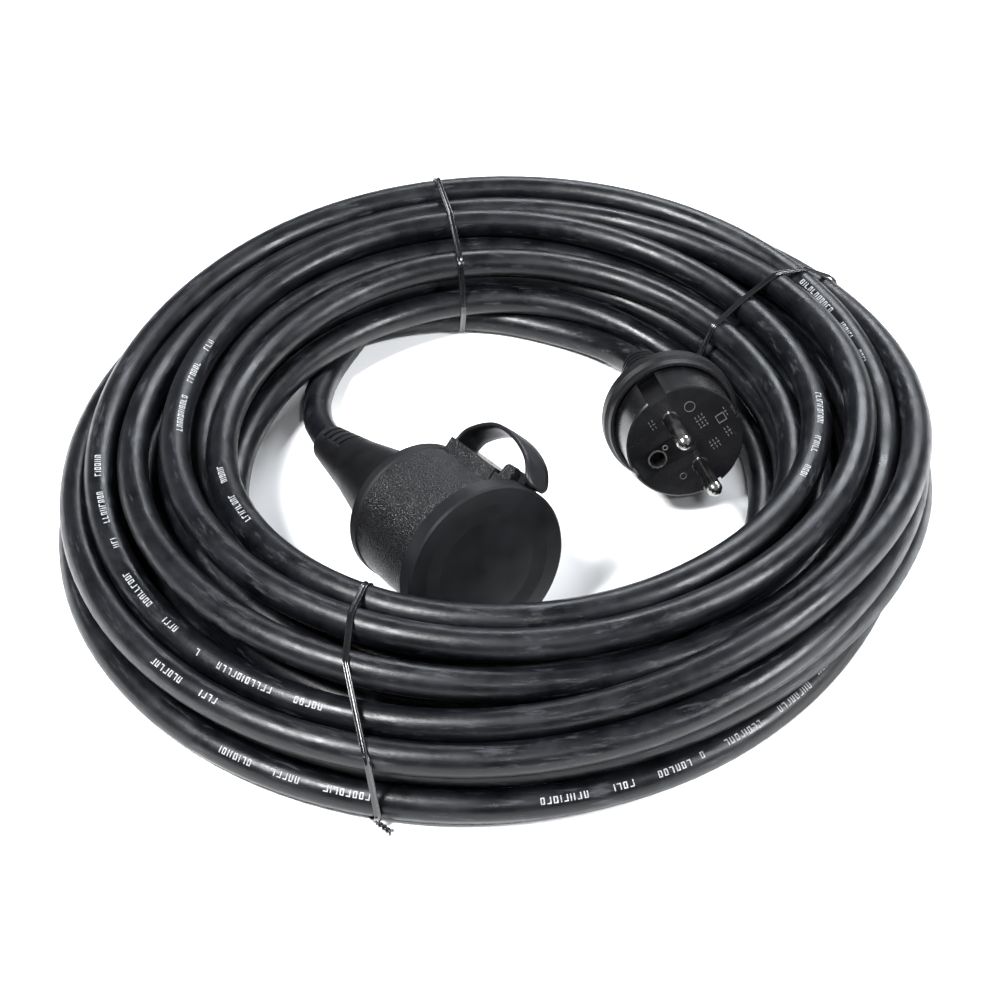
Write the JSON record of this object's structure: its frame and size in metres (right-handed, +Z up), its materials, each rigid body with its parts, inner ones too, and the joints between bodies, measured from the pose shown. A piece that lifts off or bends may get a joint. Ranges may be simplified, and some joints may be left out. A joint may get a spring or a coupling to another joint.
{
  "type": "rubber extension cord",
  "caption": "Coiled rubber extension cord held by twist ties, with a round moulded coupler under a hinged cap and a moulded two-pin earthed plug, both lying inside the ring.",
  "frame": {"origin": "on the floor, under the middle of the bounding box", "axes": "+Z up; the cord lies flat in the XY plane, the coupler's capped end faces -Y"},
  "size_m": [0.2734, 0.2683, 0.0547],
  "materials": {
    "cord_rubber": "satin, scuffed",
    "tie_plastic": "satin",
    "moulding_rubber": "matt",
    "barrel_plastic": "fine pebble grain",
    "carrier_plastic": "matt",
    "cap_plastic": "satin",
    "nose_plastic": "gloss",
    "pin_nickel": "bright nickel",
    "contact_brass": "bright",
    "earth_spring": "bright",
    "core_brown": "matt",
    "core_blue": "matt",
    "core_green_yellow": "matt",
    "hinge_steel": "satin"
  },
  "bodies": {
    "cord": {"cord_coil": "cord_rubber", "cord_to_coupler": "cord_rubber", "cord_to_plug": "cord_rubber", "tie_front": "tie_plastic", "tie_back_left": "tie_plastic", "tie_back_right": "tie_plastic", "coupler_moulding": "moulding_rubber", "coupler_barrel": "barrel_plastic", "contact_carrier": "carrier_plastic", "line_contact_left": "contact_brass", "line_contact_right": "contact_brass", "coupler_earth_contact": "earth_spring", "coupler_core_brown": "core_brown", "coupler_core_blue": "core_blue", "coupler_core_earth": "core_green_yellow", "hinge_rail": "barrel_plastic", "hinge_block": "barrel_plastic", "hinge_pin": "hinge_steel", "cap_strap": "moulding_rubber", "plug_moulding": "moulding_rubber", "plug_nose": "nose_plastic", "plug_pin_left": "pin_nickel", "plug_pin_right": "pin_nickel", "plug_earth_clips": "earth_spring", "plug_earth_sleeve": "earth_spring", "plug_core_brown": "core_brown", "plug_core_blue": "core_blue", "plug_core_earth": "core_green_yellow"},
    "cap": {"cap": "cap_plastic"}
  },
  "joints": [
    {"name": "cap_hinge", "type": "hinge", "parent": "cord", "child": "cap", "pos_m": [0.00402, -0.04214, 0.0454], "axis": [-0.6443, -0.2621, 0.7184], "range_deg": [0, 120], "deforming": ["cap_strap", "cord_coil"]}
  ]
}
